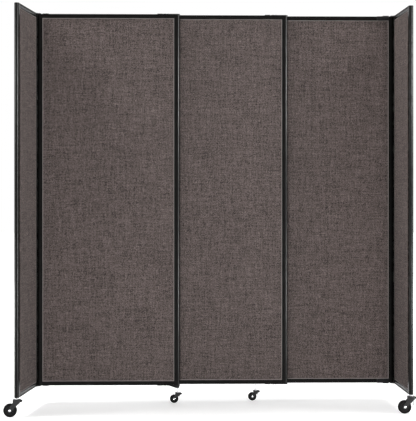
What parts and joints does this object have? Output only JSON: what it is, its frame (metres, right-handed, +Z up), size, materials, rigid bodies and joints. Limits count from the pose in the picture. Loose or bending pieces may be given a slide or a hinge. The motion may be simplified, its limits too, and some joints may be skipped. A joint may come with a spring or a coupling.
{
  "type": "sliding room divider",
  "caption": "Sliding room divider: fabric panels in black frames run past each other on shoes, with hinged end wings and braked swivel casters.",
  "frame": {"origin": "on the floor, in the middle of the plan outline with the panels drawn out and the wings as in the picture", "axes": "+X to the right along the sliding panels, +Y away from the side the wings are swung to, +Z up"},
  "size_m": [2.2967, 0.5576, 2.294],
  "materials": {
    "frame": "satin black",
    "board": "raw fibre board",
    "fabric": "grey heather weave",
    "black_plastic": "fine matt grain",
    "black_steel": "satin black powder coat",
    "zinc_steel": "bright zinc",
    "wheel_rubber": "dark grey rubber"
  },
  "bodies": {
    "left_panel": {"left_panel_hinge_stile": "frame", "left_panel_inner_stile": "frame", "left_panel_top_rail": "frame", "left_panel_bottom_rail": "frame", "left_panel_board": "board", "left_panel_fabric": "fabric", "left_panel_top_shoe": "black_plastic", "left_panel_bottom_shoe": "black_plastic", "left_panel_stops": "black_plastic", "left_panel_caster_stem": "zinc_steel"},
    "middle_panel": {"middle_panel_left_stile": "frame", "middle_panel_right_stile": "frame", "middle_panel_top_rail": "frame", "middle_panel_bottom_rail": "frame", "middle_panel_board": "board", "middle_panel_fabric": "fabric", "middle_panel_left_shoes": "black_plastic", "middle_panel_right_shoes": "black_plastic"},
    "right_panel": {"right_panel_inner_stile": "frame", "right_panel_hinge_stile": "frame", "right_panel_top_rail": "frame", "right_panel_bottom_rail": "frame", "right_panel_board": "board", "right_panel_fabric": "fabric", "right_panel_top_shoe": "black_plastic", "right_panel_bottom_shoe": "black_plastic", "right_panel_stops": "black_plastic", "right_panel_caster_stem": "zinc_steel"},
    "left_wing": {"left_wing_hinge_stile": "frame", "left_wing_outer_stile": "frame", "left_wing_top_rail": "frame", "left_wing_bottom_rail": "frame", "left_wing_board": "board", "left_wing_fabric": "fabric", "left_wing_caster_stem": "zinc_steel"},
    "right_wing": {"right_wing_hinge_stile": "frame", "right_wing_outer_stile": "frame", "right_wing_top_rail": "frame", "right_wing_bottom_rail": "frame", "right_wing_board": "board", "right_wing_fabric": "fabric", "right_wing_caster_stem": "zinc_steel"},
    "left_link": {"left_hinge_links": "black_steel"},
    "right_link": {"right_hinge_links": "black_steel"},
    "left_panel_caster_fork": {"left_panel_caster_yoke": "black_steel", "left_panel_caster_axle": "zinc_steel"},
    "left_panel_caster_wheel": {"left_panel_caster_wheel": "wheel_rubber"},
    "left_panel_caster_pedal": {"left_panel_caster_brake_pedal": "black_plastic"},
    "right_panel_caster_fork": {"right_panel_caster_yoke": "black_steel", "right_panel_caster_axle": "zinc_steel"},
    "right_panel_caster_wheel": {"right_panel_caster_wheel": "wheel_rubber"},
    "right_panel_caster_pedal": {"right_panel_caster_brake_pedal": "black_plastic"},
    "left_wing_caster_fork": {"left_wing_caster_yoke": "black_steel", "left_wing_caster_axle": "zinc_steel"},
    "left_wing_caster_wheel": {"left_wing_caster_wheel": "wheel_rubber"},
    "left_wing_caster_pedal": {"left_wing_caster_brake_pedal": "black_plastic"},
    "right_wing_caster_fork": {"right_wing_caster_yoke": "black_steel", "right_wing_caster_axle": "zinc_steel"},
    "right_wing_caster_wheel": {"right_wing_caster_wheel": "wheel_rubber"},
    "right_wing_caster_pedal": {"right_wing_caster_brake_pedal": "black_plastic"}
  },
  "joints": [
    {"name": "left_slide", "type": "slide", "parent": "middle_panel", "child": "left_panel", "axis": [1, 0, 0], "range_m": [0, 0.534]},
    {"name": "right_slide", "type": "slide", "parent": "middle_panel", "child": "right_panel", "axis": [-1, 0, 0], "range_m": [0, 0.534]},
    {"name": "left_link_pivot", "type": "hinge", "parent": "left_panel", "child": "left_link", "pos_m": [-1.00211, 0.18484, 2.286], "axis": [0, 0, 1], "range_deg": [-86.5, 48.5]},
    {"name": "left_wing_pivot", "type": "hinge", "parent": "left_link", "child": "left_wing", "pos_m": [-1.02233, 0.16695, 2.286], "axis": [0, 0, 1], "range_deg": [-86.5, 48.5]},
    {"name": "right_link_pivot", "type": "hinge", "parent": "right_panel", "child": "right_link", "pos_m": [1.08589, 0.26084, 2.286], "axis": [0, 0, -1], "range_deg": [-134, 1]},
    {"name": "right_wing_pivot", "type": "hinge", "parent": "right_link", "child": "right_wing", "pos_m": [1.10531, 0.24208, 2.286], "axis": [0, 0, -1], "range_deg": [-134, 1]},
    {"name": "left_panel_caster_swivel", "type": "hinge", "parent": "left_panel", "child": "left_panel_caster_fork", "pos_m": [-0.19011, 0.18484, 0.05], "axis": [0, 0, 1], "continuous": true},
    {"name": "left_panel_caster_spin", "type": "hinge", "parent": "left_panel_caster_fork", "child": "left_panel_caster_wheel", "pos_m": [-0.21011, 0.18484, 0.025], "axis": [0, 1, 0], "continuous": true},
    {"name": "left_panel_caster_brake", "type": "hinge", "parent": "left_panel_caster_fork", "child": "left_panel_caster_pedal", "pos_m": [-0.17811, 0.18484, 0.055], "axis": [0, 1, 0], "range_deg": [0, 14]},
    {"name": "right_panel_caster_swivel", "type": "hinge", "parent": "right_panel", "child": "right_panel_caster_fork", "pos_m": [0.27389, 0.26084, 0.05], "axis": [0, 0, 1], "continuous": true},
    {"name": "right_panel_caster_spin", "type": "hinge", "parent": "right_panel_caster_fork", "child": "right_panel_caster_wheel", "pos_m": [0.25389, 0.26084, 0.025], "axis": [0, 1, 0], "continuous": true},
    {"name": "right_panel_caster_brake", "type": "hinge", "parent": "right_panel_caster_fork", "child": "right_panel_caster_pedal", "pos_m": [0.28589, 0.26084, 0.055], "axis": [0, 1, 0], "range_deg": [0, 14]},
    {"name": "left_wing_caster_swivel", "type": "hinge", "parent": "left_wing", "child": "left_wing_caster_fork", "pos_m": [-1.07486, -0.26084, 0.075], "axis": [0, 0, 1], "continuous": true},
    {"name": "left_wing_caster_spin", "type": "hinge", "parent": "left_wing_caster_fork", "child": "left_wing_caster_wheel", "pos_m": [-1.11086, -0.26084, 0.0375], "axis": [0, 1, 0], "continuous": true},
    {"name": "left_wing_caster_brake", "type": "hinge", "parent": "left_wing_caster_fork", "child": "left_wing_caster_pedal", "pos_m": [-1.06086, -0.26084, 0.089], "axis": [0, 1, 0], "range_deg": [0, 14]},
    {"name": "right_wing_caster_swivel", "type": "hinge", "parent": "right_wing", "child": "right_wing_caster_fork", "pos_m": [1.12036, -0.18865, 0.075], "axis": [0, 0, 1], "continuous": true},
    {"name": "right_wing_caster_spin", "type": "hinge", "parent": "right_wing_caster_fork", "child": "right_wing_caster_wheel", "pos_m": [1.08436, -0.18865, 0.0375], "axis": [0, 1, 0], "continuous": true},
    {"name": "right_wing_caster_brake", "type": "hinge", "parent": "right_wing_caster_fork", "child": "right_wing_caster_pedal", "pos_m": [1.13436, -0.18865, 0.089], "axis": [0, 1, 0], "range_deg": [0, 14]}
  ]
}
